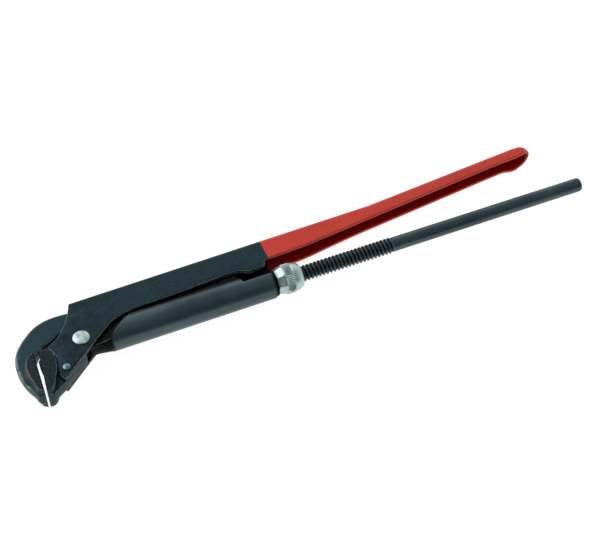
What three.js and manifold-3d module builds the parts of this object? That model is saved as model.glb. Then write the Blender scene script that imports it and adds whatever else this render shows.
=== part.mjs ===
// Swedish-pattern pipe wrench lying on its side, in millimetres.
// X runs from the jaws to the handle ends, Y from the bar to the channel handle, and Z is the thickness.
// Everything is drawn about the pivot rivet's axis, and the whole group is then moved so that the origin is
// the centre of the bounding box at its lowest level.
import * as THREE from 'three';
import { mergeVertices } from 'three/addons/utils/BufferGeometryUtils.js';
import Module from 'manifold-3d';

const wasm = await Module();
wasm.setup();

// Overall lengths from the pivot rivet's axis
const CHANNEL_END = 357;
const BAR_END = 377;

// Channel handle, pressed from sheet
const CHANNEL_WIDTH = 13.8;
const CHANNEL_SHEET = 2.5;
const WEB_FRONT_Y = 32.2;
const WEB_BEND_X = 222.8;
const WEB_BEND_Y = 35.84;
const GRIP_RISE = 0.0875;
const GRIP_TURN_X = 168;
const GRIP_DEPTH_FRONT = 16.9;
const GRIP_DEPTH_REAR = 8.6;
const LIP_SLOPE = 0.043;
const NOSE_LENGTH = 15;

// Jaws
const JAW_WIDTH = 19.4;
const TOOTH_COUNT = 13;
const TOOTH_DEPTH = 1.2;
const HOOK_TRAVEL = 56;
const BLADE_THICKNESS = 4.6;

// Rivets
const PIVOT_RADIUS = 4.2;
const PIVOT_HEAD = { radius: 5.65, height: 1.4 };
const JAW_RIVET_RADIUS = 1.9;
const JAW_RIVET_HEAD = { radius: 2.6, height: 0.9 };
const JAW_RIVET_AT = [-15.3, -18.9];

// Bar handle and its thread
const BAR_RADIUS = 5.07;
const THREAD_RADIUS = 5.6;
const THREAD_FROM = 126;
const THREAD_TO = 222;
const BAR_DROP = 0.6;

// Adjusting nut and what holds it in the sleeve
const NUT_FRONT = 136.6;
const NUT_LENGTH = 18.4;
const NUT_BAND_OVER_NECK = 3.2;
const NUT_FACE_OVER_NECK = 1.4;
const NECK_WALL = 1.5;
const NECK_LENGTH = 18.6;
const GROOVE_DEPTH = 0.7;
const RING_THICKNESS = 1.2;
const RING_OVER_NECK = 0.8;
const BUSH_WALL = 0.8;
const BUSH_LENGTH = 12;
const WASHER_THICKNESS = 1.7;

// Sleeve, rolled from sheet
const SLEEVE_SHEET = 1.7;
const SLEEVE_FLARE = 0.7;
const SLEEVE_FRONT = 18.7;
const SLEEVE_CUT_X = 27;
const SLEEVE_CUT_SLOPE = 1.3;
const SLIT_END = 96;
const LUG_LENGTH = 16;
const SEAM_RISE = 1.8;
const EAR_RADIUS = 8.5;
const EAR_END = 27;

// Clearances
const RUNNING = 0.1;
const SIDE_PLAY = 0.2;
const SEAT = 0.2;
const FACE_GAP = 0.3;
const ROUND = 48;

// Sizes worked out from the ones above
const halfWidth = CHANNEL_WIDTH / 2;
const halfSlot = halfWidth - CHANNEL_SHEET;
const halfPlate = halfSlot - SIDE_PLAY;
const halfBlade = BLADE_THICKNESS / 2;
const earInner = halfBlade + SIDE_PLAY;
const nutBore = THREAD_RADIUS + RUNNING;
const neckRadius = nutBore + NECK_WALL;
const bushInner = neckRadius + RUNNING;
const bushOuter = bushInner + BUSH_WALL;
const sleeveRearRadius = bushOuter + SEAT + SLEEVE_SHEET;
const sleeveFrontRadius = sleeveRearRadius + SLEEVE_FLARE;
const sleeveRear = NUT_FRONT - 2 * FACE_GAP - WASHER_THICKNESS;
const bladeLow = PIVOT_RADIUS + 0.5;
const bladeEnd = EAR_END + HOOK_TRAVEL + 1;
const cheekEdge = Math.sqrt(sleeveFrontRadius ** 2 - halfSlot ** 2) - BAR_DROP;

const STEEL_BLACK = new THREE.MeshStandardMaterial({ color: 0x2f4347, roughness: 0.5, metalness: 0.7 });
const STEEL_BLUE = new THREE.MeshStandardMaterial({ color: 0x3c5058, roughness: 0.42, metalness: 0.7 });
const BRIGHT_STEEL = new THREE.MeshStandardMaterial({ color: 0xcfd4d2, roughness: 0.35, metalness: 0.9 });
const ZINC = new THREE.MeshStandardMaterial({ color: 0xc4cdcb, roughness: 0.4, metalness: 0.85 });
const RED_ENAMEL = new THREE.MeshStandardMaterial({ color: 0xc64b44, roughness: 0.35, metalness: 0.0 });
const OIL_BLACK = new THREE.MeshStandardMaterial({ color: 0x14191a, roughness: 0.6, metalness: 0.4 });

// ---- geometry helpers ----

// A closed solid from any closed geometry, with shared corners merged and empty triangles left out
function solid(geometry) {
  const bare = geometry.clone();
  bare.deleteAttribute('normal');
  bare.deleteAttribute('uv');
  const merged = mergeVertices(bare, 1e-4);
  const corners = [];
  for (let i = 0; i < merged.index.count; i += 3) {
    const [a, b, c] = [0, 1, 2].map((k) => merged.index.getX(i + k));
    if (a !== b && b !== c && a !== c) corners.push(a, b, c);
  }
  return new wasm.Manifold(new wasm.Mesh({
    numProp: 3,
    vertProperties: Float32Array.from(merged.attributes.position.array),
    triVerts: Uint32Array.from(corners),
  }));
}

// A closed outline from a starting point and runs that are either straight or smooth through their points
function outline(start, runs) {
  const shape = new THREE.Shape();
  shape.moveTo(...start);
  for (const { straight = [], smooth = [] } of runs) {
    straight.forEach(([x, y]) => shape.lineTo(x, y));
    if (smooth.length) shape.splineThru(smooth.map(([x, y]) => new THREE.Vector2(x, y)));
  }
  return shape;
}

// An outline in X and Y given a thickness from z0 to z1
function plate(shape, z0, z1) {
  const options = { depth: z1 - z0, bevelEnabled: false, curveSegments: 3 };
  return solid(new THREE.ExtrudeGeometry(shape, options).translate(0, 0, z0));
}

// A block between two corners
function block([x0, y0, z0], [x1, y1, z1]) {
  const box = new THREE.BoxGeometry(x1 - x0, y1 - y0, z1 - z0);
  return solid(box.translate((x0 + x1) / 2, (y0 + y1) / 2, (z0 + z1) / 2));
}

// A profile of [radius, height] pairs turned about the Z axis at (x, y)
function turnedUpright(profile, [x, y]) {
  const points = profile.map(([r, z]) => new THREE.Vector2(r, z));
  return solid(new THREE.LatheGeometry(points, ROUND).rotateX(Math.PI / 2).translate(x, y, 0));
}

// A profile of [radius, x] pairs turned about the bar's axis
function turnedOnBar(profile) {
  const points = profile.map(([r, x]) => new THREE.Vector2(r, x));
  return solid(new THREE.LatheGeometry(points, ROUND).rotateZ(-Math.PI / 2).translate(0, -BAR_DROP, 0));
}

// A round hole or pin about the Z axis
function pin(radius, [x, y], z0, z1) {
  return turnedUpright([[0, z0], [radius, z0], [radius, z1], [0, z1]], [x, y]);
}

// A ring on the bar's axis
function ringOnBar(inner, outer, x0, x1) {
  return turnedOnBar([[inner, x0], [outer, x0], [outer, x1], [inner, x1], [inner, x0]]);
}

function named(name, body, material) {
  const { vertProperties, triVerts } = body.getMesh();
  const geometry = new THREE.BufferGeometry();
  geometry.setAttribute('position', new THREE.BufferAttribute(vertProperties, 3));
  geometry.setIndex(new THREE.BufferAttribute(triVerts, 1));
  geometry.computeVertexNormals();
  const mesh = new THREE.Mesh(geometry, material);
  mesh.name = name;
  return mesh;
}

// ---- channel handle ----

// Height of the web's outside face along the handle: straight over the sleeve, then rising along the grip
function webY(x) {
  if (x < WEB_BEND_X) return WEB_FRONT_Y + ((WEB_BEND_Y - WEB_FRONT_Y) * x) / WEB_BEND_X;
  return WEB_BEND_Y + GRIP_RISE * (x - WEB_BEND_X);
}

// Lower edge of the legs behind the nut: nearly level over the thread, then a straight rise to the nose
function gripEdge(x) {
  const low = webY(GRIP_TURN_X) - GRIP_DEPTH_FRONT;
  if (x < GRIP_TURN_X) return low - LIP_SLOPE * (GRIP_TURN_X - x);
  const noseX = CHANNEL_END - NOSE_LENGTH;
  const rise = webY(noseX) - GRIP_DEPTH_REAR - low;
  return low + (rise * (x - GRIP_TURN_X)) / (noseX - GRIP_TURN_X);
}

// Side view of both legs: cheeks round the jaws at the front, a lip over the sleeve's end and a long grip
function channelSide() {
  const nose = CHANNEL_END - NOSE_LENGTH;
  const tipY = webY(CHANNEL_END) - 4.5;
  const lip = gripEdge(nose);
  return outline([0.7, WEB_FRONT_Y], [
    { smooth: [[-2.3, 23.9], [-6.4, 16.3], [-12, 8.7], [-22.8, 0.6]] },
    { smooth: [[-20.5, -2.9], [-19.2, -7.5], [-19.3, -12], [-20.9, -22], [-20.4, -25.6], [-18.7, -28]] },
    { straight: [[-14.1, -24.2], [1.2, -11.3]] },
    { smooth: [[10.6, -3.8], [16, 0.5], [23.4, cheekEdge - 3.3], [31.5, cheekEdge - 0.3]] },
    { straight: [[40, cheekEdge + 1.05], [58, cheekEdge + 1.5], [80, cheekEdge + 2.6]] },
    { smooth: [[110, cheekEdge + 4.7], [115, cheekEdge + 4.6], [122.5, cheekEdge + 1.2]] },
    { straight: [[133, cheekEdge + 2.4], [134.3, cheekEdge + 5.5], [138, gripEdge(138)]] },
    { straight: [GRIP_TURN_X - 8, GRIP_TURN_X + 10, nose - 9].map((x) => [x, gripEdge(x)]) },
    { smooth: [[nose - 3, lip - 1.7], [nose + 1, lip - 1.2], [nose + 10, lip + 2.9]] },
    { smooth: [[CHANNEL_END, tipY - 2], [CHANNEL_END - 0.3, tipY]] },
    { smooth: [[CHANNEL_END - 6, webY(nose) - 0.2], [nose, webY(nose)]] },
    { straight: [[WEB_BEND_X, WEB_BEND_Y]] },
  ]);
}

// The hollow between the legs: everything under the web, with a round end inside the nose
function channelHollow() {
  const under = CHANNEL_SHEET;
  const end = CHANNEL_END - CHANNEL_SHEET - halfSlot;
  const roofEnd = webY(end) - under - 1.2;
  const upper = outline([-60, webY(0) - under], [
    { straight: [[-60, -80], [end, -80], [end, roofEnd]] },
    { straight: [[end - 12, webY(end - 12) - under], [WEB_BEND_X, WEB_BEND_Y - under]] },
  ]);
  const body = plate(upper, -halfSlot, halfSlot);
  const round = new THREE.CylinderGeometry(halfSlot, halfSlot, 200, ROUND);
  return body.add(solid(round.translate(end, roofEnd - 100, 0)));
}

// The rounded plan of the channel, which closes the nose
function channelPlan() {
  const end = CHANNEL_END - halfWidth;
  const bar = block([-60, -100, -halfWidth], [end, 100, halfWidth]);
  const nose = new THREE.CylinderGeometry(halfWidth, halfWidth, 200, ROUND);
  return bar.add(solid(nose.translate(end, 0, 0)));
}

function channelHandle() {
  const holes = pin(PIVOT_RADIUS + RUNNING, [0, 0], -halfWidth - 1, halfWidth + 1)
    .add(pin(JAW_RIVET_RADIUS + RUNNING, JAW_RIVET_AT, -halfWidth - 1, halfWidth + 1));
  return plate(channelSide(), -halfWidth, halfWidth)
    .intersect(channelPlan())
    .subtract(channelHollow())
    .subtract(holes);
}

// ---- rivets ----

// A pin with a domed head on each outside face of the channel
function rivet(radius, head, at) {
  const seat = halfWidth + SEAT / 2;
  const steps = 6;
  const dome = [];
  for (let i = 0; i <= steps; i += 1) {
    const angle = (i / steps) * (Math.PI / 2);
    dome.push([head.radius * Math.cos(angle), seat + head.height * Math.sin(angle)]);
  }
  const upper = [[radius, seat], ...dome];
  const lower = upper.map(([r, z]) => [r, -z]).reverse();
  const profile = [...lower, ...upper];
  profile[0][0] = 0;
  profile[profile.length - 1][0] = 0;
  return turnedUpright(profile, at);
}

// ---- jaws ----

// Teeth along a line from one end to the other, with valleys to the given side
function teeth([x0, y0], [x1, y1], side) {
  const length = Math.hypot(x1 - x0, y1 - y0);
  const nx = (side * (y1 - y0)) / length;
  const ny = (-side * (x1 - x0)) / length;
  const line = [];
  for (let i = 0; i <= 2 * TOOTH_COUNT; i += 1) {
    const share = i / (2 * TOOTH_COUNT);
    const depth = i % 2 ? TOOTH_DEPTH : 0;
    line.push([x0 + share * (x1 - x0) + depth * nx, y0 + share * (y1 - y0) + depth * ny]);
  }
  return line;
}

const HOOK_TEETH = teeth([-33.7, -32.5], [-32, -1.5], -1);
const FIXED_TEETH = teeth([-28.2, -1.8], [-31.8, -33.1], -1);

// The hook's flat body over the pivot, its wide toothed segment, the blade in the sleeve and the round bar
function hookJaw() {
  const earTop = EAR_RADIUS + 0.7;
  const plateSide = outline(HOOK_TEETH[0], [
    { straight: [[-36.5, -20], [-36.5, -2], [-32, -1.5], [-31.6, 2.6]] },
    { smooth: [[-27.2, 3.6], [-19.2, 7.4], [-13, 11]] },
    { straight: [[-4, 11.2], [4, earTop], [24, earTop], [24, 20.5]] },
    { smooth: [[10, 25.2], [-2, 26.8], [-13.6, 27.1], [-24, 24.8], [-34.3, 17.2], [-42.6, 7], [-45.6, -4],
      [-44.2, -17], [-39.8, -28], [-35.2, -32.7], HOOK_TEETH[0]] },
  ]);
  const segment = outline(HOOK_TEETH[0], [
    { straight: HOOK_TEETH.slice(1) },
    { smooth: [[-35, -1.3], [-38.6, -5], [-40.3, -12], [-39.4, -22], [-36.8, -30.4], [-35.2, -32.7]] },
  ]);
  const blade = outline([10, bladeLow], [
    { straight: [[bladeEnd, bladeLow], [bladeEnd + 2, 0], [bladeEnd + 8, 0]] },
    { straight: [[bladeEnd + 8, bladeLow - 1.7], [26, 19.8], [10, 22]] },
  ]);
  const bar = turnedOnBar([
    [0, bladeEnd], [BAR_RADIUS - 1, bladeEnd], [BAR_RADIUS, bladeEnd + 1], [BAR_RADIUS, THREAD_FROM],
    [THREAD_RADIUS, THREAD_FROM + 0.6], [THREAD_RADIUS, THREAD_TO - 0.6], [BAR_RADIUS, THREAD_TO],
    [BAR_RADIUS, BAR_END - 1.5], [BAR_RADIUS - 1.2, BAR_END - 0.2], [0, BAR_END],
  ]);
  return plate(plateSide, -halfPlate, halfPlate)
    .add(plate(segment, -JAW_WIDTH / 2, JAW_WIDTH / 2))
    .add(plate(blade, -halfBlade, halfBlade))
    .add(bar);
}

// The fixed jaw: a wide toothed segment and a shank riveted between the cheeks
function fixedJaw() {
  const clear = EAR_RADIUS + 0.8;
  const segment = outline(FIXED_TEETH[0], [
    { straight: FIXED_TEETH.slice(1) },
    { smooth: [[-29.6, -33.2], [-27, -31.6], [-24.4, -26.5], [-22, -20.9], [-20.4, -14], [-20.2, -9],
      [-21.6, -4.2], [-24.4, -1.9], FIXED_TEETH[0]] },
  ]);
  const shank = outline([-31, -33], [
    { straight: [[-29.2, -33.9], [-26.8, -33.4], [-18.7, -28], [-14.1, -24.2], [-0.5, -12.8], [-0.5, -4]] },
    { straight: [[-26, -4], [-28, -10]] },
  ]);
  return plate(shank, -halfPlate, halfPlate)
    .subtract(pin(clear, [0, 0], -halfPlate - 1, halfPlate + 1))
    .add(plate(segment, -JAW_WIDTH / 2, JAW_WIDTH / 2))
    .subtract(pin(JAW_RIVET_RADIUS + RUNNING, JAW_RIVET_AT, -halfPlate - 1, halfPlate + 1));
}

// ---- sleeve ----

// Rolled tube with a slanted front, a slit for the blade, a closing lug and an open top over the nut's neck
function sleeve() {
  const tube = turnedOnBar([
    [sleeveFrontRadius - SLEEVE_SHEET, SLEEVE_FRONT], [sleeveFrontRadius, SLEEVE_FRONT],
    [sleeveRearRadius, sleeveRear], [sleeveRearRadius - SLEEVE_SHEET, sleeveRear],
    [sleeveFrontRadius - SLEEVE_SHEET, SLEEVE_FRONT],
  ]);
  const reach = 2 * sleeveFrontRadius;
  const cutLow = -reach;
  const slant = outline([SLEEVE_CUT_X + SLEEVE_CUT_SLOPE * cutLow, cutLow], [
    { straight: [[SLEEVE_CUT_X + SLEEVE_CUT_SLOPE * reach, reach], [-60, reach], [-60, cutLow]] },
  ]);
  const top = sleeveFrontRadius - BAR_DROP + SEAM_RISE;
  const seamFrom = SLEEVE_CUT_X + SLEEVE_CUT_SLOPE * (top - 1);
  const seamLow = sleeveRearRadius - BAR_DROP - 1.6;
  const seam = block([seamFrom, seamLow, -halfPlate], [SLIT_END + LUG_LENGTH, top, halfPlate]);
  const slit = block([0, 0, -earInner], [SLIT_END, reach, earInner]);
  const openTop = block([SLIT_END + LUG_LENGTH, 0, -reach], [sleeveRear + 1, reach, reach]);
  const boreRadius = BAR_RADIUS + 0.5;
  const bore = turnedOnBar([[0, 20], [boreRadius, 20], [boreRadius, EAR_END + 20], [0, EAR_END + 20]]);
  return tube
    .subtract(plate(slant, -reach, reach))
    .add(seam)
    .subtract(slit)
    .subtract(openTop)
    .add(ear(1))
    .add(ear(-1))
    .subtract(bore)
    .subtract(pin(PIVOT_RADIUS + RUNNING, [0, 0], -halfSlot, halfSlot));
}

// One flat ear from the tube to the pivot rivet, on the side given by the sign
function ear(side) {
  const half = Math.sqrt((sleeveFrontRadius - 0.3) ** 2 - halfPlate ** 2);
  const low = -half - BAR_DROP;
  const high = EAR_RADIUS;
  const profile = new THREE.Shape();
  profile.moveTo(0, high);
  profile.absarc(0, 0, EAR_RADIUS, Math.PI / 2, (3 * Math.PI) / 2, false);
  profile.lineTo(SLEEVE_FRONT - 4, low);
  profile.lineTo(EAR_END, low);
  profile.lineTo(EAR_END, SLEEVE_CUT_SLOPE);
  profile.lineTo(SLEEVE_FRONT, high);
  const [z0, z1] = side > 0 ? [earInner, halfPlate] : [-halfPlate, -earInner];
  return plate(profile, z0, z1);
}

// ---- nut and its bearing ----

function adjustingNut() {
  const band = neckRadius + NUT_BAND_OVER_NECK;
  const face = neckRadius + NUT_FACE_OVER_NECK;
  const neckEnd = NUT_FRONT - NECK_LENGTH;
  const rear = NUT_FRONT + NUT_LENGTH;
  const groove = neckRadius - GROOVE_DEPTH;
  const grooveFrom = neckEnd + RING_THICKNESS;
  const grooveTo = grooveFrom + RING_THICKNESS + 2 * FACE_GAP;
  return turnedOnBar([
    [nutBore, neckEnd], [neckRadius, neckEnd], [neckRadius, grooveFrom], [groove, grooveFrom],
    [groove, grooveTo], [neckRadius, grooveTo], [neckRadius, NUT_FRONT], [face, NUT_FRONT],
    [band - 0.3, NUT_FRONT + 4], [band, NUT_FRONT + 5.4], [band, rear - 8.2], [band - 0.9, rear - 5],
    [band - 2.2, rear - 1.2], [nutBore + 1.2, rear], [nutBore, rear - 0.8], [nutBore, neckEnd],
  ]);
}

function retainingRing() {
  const from = NUT_FRONT - NECK_LENGTH + RING_THICKNESS + FACE_GAP;
  const inner = neckRadius - GROOVE_DEPTH + RUNNING;
  return ringOnBar(inner, neckRadius + RING_OVER_NECK, from, from + RING_THICKNESS);
}

function sleeveBush() {
  return ringOnBar(bushInner, bushOuter, sleeveRear - BUSH_LENGTH, sleeveRear);
}

function thrustWasher() {
  return ringOnBar(bushInner, sleeveRearRadius - 0.7, sleeveRear + FACE_GAP, NUT_FRONT - FACE_GAP);
}

// ---- assembly ----

const wrench = new THREE.Group();
wrench.add(
  named('channel_handle', channelHandle(), RED_ENAMEL),
  named('fixed_jaw', fixedJaw(), STEEL_BLACK),
  named('pivot_rivet', rivet(PIVOT_RADIUS, PIVOT_HEAD, [0, 0]), BRIGHT_STEEL),
  named('jaw_rivet', rivet(JAW_RIVET_RADIUS, JAW_RIVET_HEAD, JAW_RIVET_AT), STEEL_BLACK),
  named('sleeve', sleeve(), STEEL_BLUE),
  named('sleeve_bush', sleeveBush(), OIL_BLACK),
  named('hook_jaw', hookJaw(), STEEL_BLACK),
  named('adjusting_nut', adjustingNut(), ZINC),
  named('retaining_ring', retainingRing(), OIL_BLACK),
  named('thrust_washer', thrustWasher(), OIL_BLACK),
);

const bounds = new THREE.Box3().setFromObject(wrench);
const centre = bounds.getCenter(new THREE.Vector3());
wrench.position.set(-centre.x, -centre.y, -bounds.min.z);

export default wrench;
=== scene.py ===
"""Swedish-pattern pipe wrench: the fine surfaces and finishes of each piece, built round the fixed frame.

Shapes are worked out in millimetres about the pivot rivet's centre: X runs back along the bar, Y from the bar
to the channel handle and Z up through the thickness. A piece is moved to its place in metres as it is made.
"""

import math
from types import SimpleNamespace

import bmesh
import bpy
import numpy as np
from bpy.props import FloatProperty, FloatVectorProperty, PointerProperty
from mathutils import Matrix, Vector


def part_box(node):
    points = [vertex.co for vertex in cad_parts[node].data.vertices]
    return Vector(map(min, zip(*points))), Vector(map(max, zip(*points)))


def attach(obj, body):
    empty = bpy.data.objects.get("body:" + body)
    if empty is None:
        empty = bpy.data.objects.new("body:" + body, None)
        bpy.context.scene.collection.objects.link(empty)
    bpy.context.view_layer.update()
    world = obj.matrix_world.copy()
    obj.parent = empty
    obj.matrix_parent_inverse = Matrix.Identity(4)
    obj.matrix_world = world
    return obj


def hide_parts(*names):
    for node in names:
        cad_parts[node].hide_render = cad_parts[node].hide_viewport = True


bl_info = {
    "name": "Pipe wrench pieces",
    "version": (1, 0, 0),
    "blender": (4, 5, 0),
    "location": "3D View > Sidebar > Wrench",
    "description": "Builds the jaws, handles, sleeve, nut and rivets of a Swedish-pattern pipe wrench",
    "category": "Add Mesh",
}

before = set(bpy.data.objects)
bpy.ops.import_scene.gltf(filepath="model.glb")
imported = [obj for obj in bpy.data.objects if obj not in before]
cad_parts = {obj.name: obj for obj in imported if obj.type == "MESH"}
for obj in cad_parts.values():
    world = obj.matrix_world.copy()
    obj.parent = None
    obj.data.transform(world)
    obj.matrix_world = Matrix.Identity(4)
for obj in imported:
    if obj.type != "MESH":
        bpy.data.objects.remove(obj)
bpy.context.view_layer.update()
METRE = 0.001


def box_mm(node):
    """Lowest and highest corner of a frame node, in millimetres, as arrays."""
    return [np.array(corner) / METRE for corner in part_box(node)]


PIVOT = sum(box_mm("pivot_rivet")) / 2


def reach(node):
    """Lowest and highest corner of a frame node, measured from the pivot."""
    low, high = box_mm(node)
    return low - PIVOT, high - PIVOT


CHANNEL_HIGH = reach("channel_handle")[1]
HOOK_HIGH = reach("hook_jaw")[1]
SLEEVE_HIGH = reach("sleeve")[1]
NUT_LOW, NUT_HIGH = reach("adjusting_nut")
WASHER_LOW, WASHER_HIGH = reach("thrust_washer")
BUSH_LOW, BUSH_HIGH = reach("sleeve_bush")
RING_LOW, RING_HIGH = reach("retaining_ring")
RIVET_HIGH = reach("pivot_rivet")[1]
JAW_RIVET_LOW, JAW_RIVET_HIGH = reach("jaw_rivet")
BAR_Y = (NUT_LOW[1] + NUT_HIGH[1]) / 2
CHEEK = CHANNEL_HIGH[2]
JAW_HALF = HOOK_HIGH[2]
CHANNEL_END = CHANNEL_HIGH[0] - 0.8
NUT_RADIUS = NUT_HIGH[2]
BUSH_WALL = 0.8


def linear(hex_colour):
    """Linear RGBA of an sRGB colour written as #rrggbb."""
    part = np.array([int(hex_colour[i : i + 2], 16) for i in (1, 3, 5)]) / 255
    value = np.where(part <= 0.04045, part / 12.92, ((part + 0.055) / 1.055) ** 2.4)
    return (*value.tolist(), 1.0)


def millimetres(name, description, default):
    """A length property whose default is given in millimetres and held in metres, as Blender holds
    lengths."""
    return FloatProperty(name=name, description=description, default=default * METRE, min=0.0, precision=5,
                         subtype="DISTANCE", unit="LENGTH")


def colour(name, description, default):
    """A colour property given by its sRGB hex value."""
    return FloatVectorProperty(name=name, description=description, subtype="COLOR", size=4, min=0, max=1,
                               default=linear(default))


class WrenchSizes(bpy.types.PropertyGroup):
    """Sizes of the fine shapes."""

    sheet: millimetres("Handle sheet", "Thickness of the channel handle's sheet", 2.5)
    bend: millimetres("Bend radius", "Outside radius of the channel's bends", 3.0)
    edge: millimetres("Edge round", "Rounding of sheared sheet edges", 0.55)
    paint_from: millimetres("Enamel from", "Distance of the enamel's edge behind the pivot", 138.3)
    plate_half: millimetres("Forging half width", "Half thickness of the forged jaws between the cheeks", 4.1)
    forging_round: millimetres("Forging round", "Rounding of the hook's back edge", 2.4)
    tooth_depth: millimetres("Tooth depth", "Depth of the jaw teeth", 1.2)
    sleeve_sheet: millimetres("Sleeve sheet", "Thickness of the sleeve's sheet", 1.7)
    bar_radius: millimetres("Bar radius", "Radius of the round bar handle", 5.07)
    thread_crest: millimetres("Thread crest", "Outside radius of the thread", 5.6)
    thread_root: millimetres("Thread root", "Root radius of the thread", 4.35)
    thread_pitch: millimetres("Thread pitch", "Distance from one thread to the next", 2.8)
    knurl_pitch: millimetres("Knurl pitch", "Distance from rib to rib round the nut's band", 1.4)
    knurl_depth: millimetres("Knurl depth", "Depth of the nut's straight knurl", 0.55)


class WrenchColours(bpy.types.PropertyGroup):
    """Colours of the finishes."""

    enamel: colour("Enamel", "Red stoving enamel on the grip", "#d6402f")
    # Painted shade: the dark red of the faces inside the grip.
    enamel_painted_shade: colour("Enamel inside", "Thin enamel and grime inside the grip", "#a2150f")
    phosphate: colour("Phosphate", "Oiled black phosphate", "#2b444c")
    phosphate_dark: colour("Phosphate, dark", "Deepest tone of the black phosphate", "#1b252b")
    blued: colour("Blued sheet", "Blue-black oxide on the sleeve", "#4c6066")
    # On edges this colour is partly rubbed steel and partly a painted highlight.
    bright: colour("Bright steel", "Clean steel of the pivot rivet and worn edges", "#c3d2cf")
    zinc: colour("Zinc plate", "Clear zinc plate on the nut", "#bfd2cd")
    # This near black is also painted shade: on the sleeve's neck, ears, lug, bush and washer, and on the
    # blued sheet's flanges and thread roots.
    black: colour("Oil black", "Dull oil-blackened steel", "#030404")


# ---- curves ----


def smooth(points, count):
    """Natural cubic spline through the points: second derivatives solve a three-band system over chord
    length."""
    p = np.array(points, float)
    t = np.concatenate([[0], np.cumsum(np.linalg.norm(np.diff(p, axis=0), axis=1))])
    h = np.diff(t)
    n = len(p)
    band = np.eye(n)
    right = np.zeros((n, 2))
    inner = np.arange(1, n - 1)
    band[inner, inner - 1] = h[:-1]
    band[inner, inner] = 2 * (h[:-1] + h[1:])
    band[inner, inner + 1] = h[1:]
    slope = np.diff(p, axis=0) / h[:, None]
    right[1:-1] = 6 * np.diff(slope, axis=0)
    curve = np.linalg.solve(band, right)
    at = np.linspace(0, t[-1], count)
    k = np.clip(np.searchsorted(t, at, side="right") - 1, 0, n - 2)
    a = ((t[k + 1] - at) / h[k])[:, None]
    b = 1 - a
    bow = ((a**3 - a) * curve[k] + (b**3 - b) * curve[k + 1]) * (h[k] ** 2)[:, None] / 6
    return a * p[k] + b * p[k + 1] + bow


def path(*runs):
    """Runs of points joined end to end, with a point shared by two runs kept once."""
    line = np.concatenate([np.array(run, float) for run in runs])
    step = np.linalg.norm(np.diff(line, axis=0), axis=1)
    return line[np.concatenate([[True], step > 1e-6])]


def even(line, count):
    """The same line with points at equal distances along it."""
    line = np.array(line, float)
    t = np.concatenate([[0], np.cumsum(np.linalg.norm(np.diff(line, axis=0), axis=1))])
    at = np.linspace(0, t[-1], count)
    return np.stack([np.interp(at, t, line[:, i]) for i in range(line.shape[1])], 1)


def arc(centre, radius, start, end, count):
    """Points on a circle from one angle to another, in degrees from +X."""
    a = np.radians(np.linspace(start, end, count))
    return np.stack([centre[0] + radius * np.cos(a), centre[1] + radius * np.sin(a)], 1)


def softened(line, width):
    """Running mean of an evenly spaced line over a few points, with its ends held."""
    pad = width // 2
    ends = [2 * line[0] - line[pad:0:-1], line, 2 * line[-1] - line[-2 : -pad - 2 : -1]]
    long = np.concatenate(ends)
    kernel = np.ones(width) / width
    return np.stack([np.convolve(long[:, i], kernel, "valid") for i in range(line.shape[1])], 1)


def ease(value, start, end):
    """0 before start, 1 after end, and an even S-curve between them."""
    t = np.clip((np.asarray(value, float) - start) / (end - start), 0, 1)
    return t * t * (3 - 2 * t)


# ---- surfaces ----
# Each is (points, faces, wear). Wear is 1 on a rubbed edge, where it also paints a highlight along the
# rounding. It is negative, down to -1, where painted shade darkens the piece on the sleeve's flanges and in
# the thread's roots, and -0.9 on the sleeve's darkened cut ends. It is 0 elsewhere.


def grid_faces(rows, columns, first=0, wrap=False):
    """Quads between neighbouring points of a grid; wrap also joins the last column to the first."""
    r = np.arange(rows - 1)[:, None] * columns
    c = np.arange(columns if wrap else columns - 1)[None, :]
    d = (c + 1) % columns
    quads = [r + c, r + d, r + columns + d, r + columns + c]
    return np.stack(quads, -1).reshape(-1, 4) + first


def rounded_wall(top, bottom, round_top, round_bottom=None, steps=4):
    """Side wall of a plate as rows of (height, inset, wear), with a quarter circle at each corner."""
    if round_bottom is None:
        round_bottom = round_top
    a = np.linspace(0, np.pi / 2, steps + 1)
    # The wear peaks halfway round each corner, where it marks rubbed steel and paints a highlight along the
    # edge line.
    worn = np.sin(2 * a) ** 2
    upper = np.stack([top - round_top * (1 - np.cos(a)), round_top * (1 - np.sin(a)), worn], 1)
    lower = np.stack([bottom + round_bottom * (1 - np.cos(a)), round_bottom * (1 - np.sin(a)), worn], 1)
    return np.concatenate([upper, lower[::-1]])


def outward(rail, other):
    """Unit normals of a rail that point away from the other rail."""
    along = np.gradient(rail, axis=0)
    normal = np.stack([along[:, 1], -along[:, 0]], 1)
    normal /= np.linalg.norm(normal, axis=1, keepdims=True) + 1e-12
    return normal * np.sign(np.sum(normal * (rail - other)))


def wall_points(rail, normal, wall, hold):
    """A wall's rows carried along a rail: each is moved in along the normal by its inset and set at its
    height."""
    inset = wall[None, :, 1] * np.broadcast_to(hold, len(rail))[:, None]
    flat = rail[:, None, :] - normal[:, None, :] * inset[..., None]
    height = np.broadcast_to(wall[:, 0], inset.shape)[..., None]
    return np.concatenate([flat, height], -1)


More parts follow.
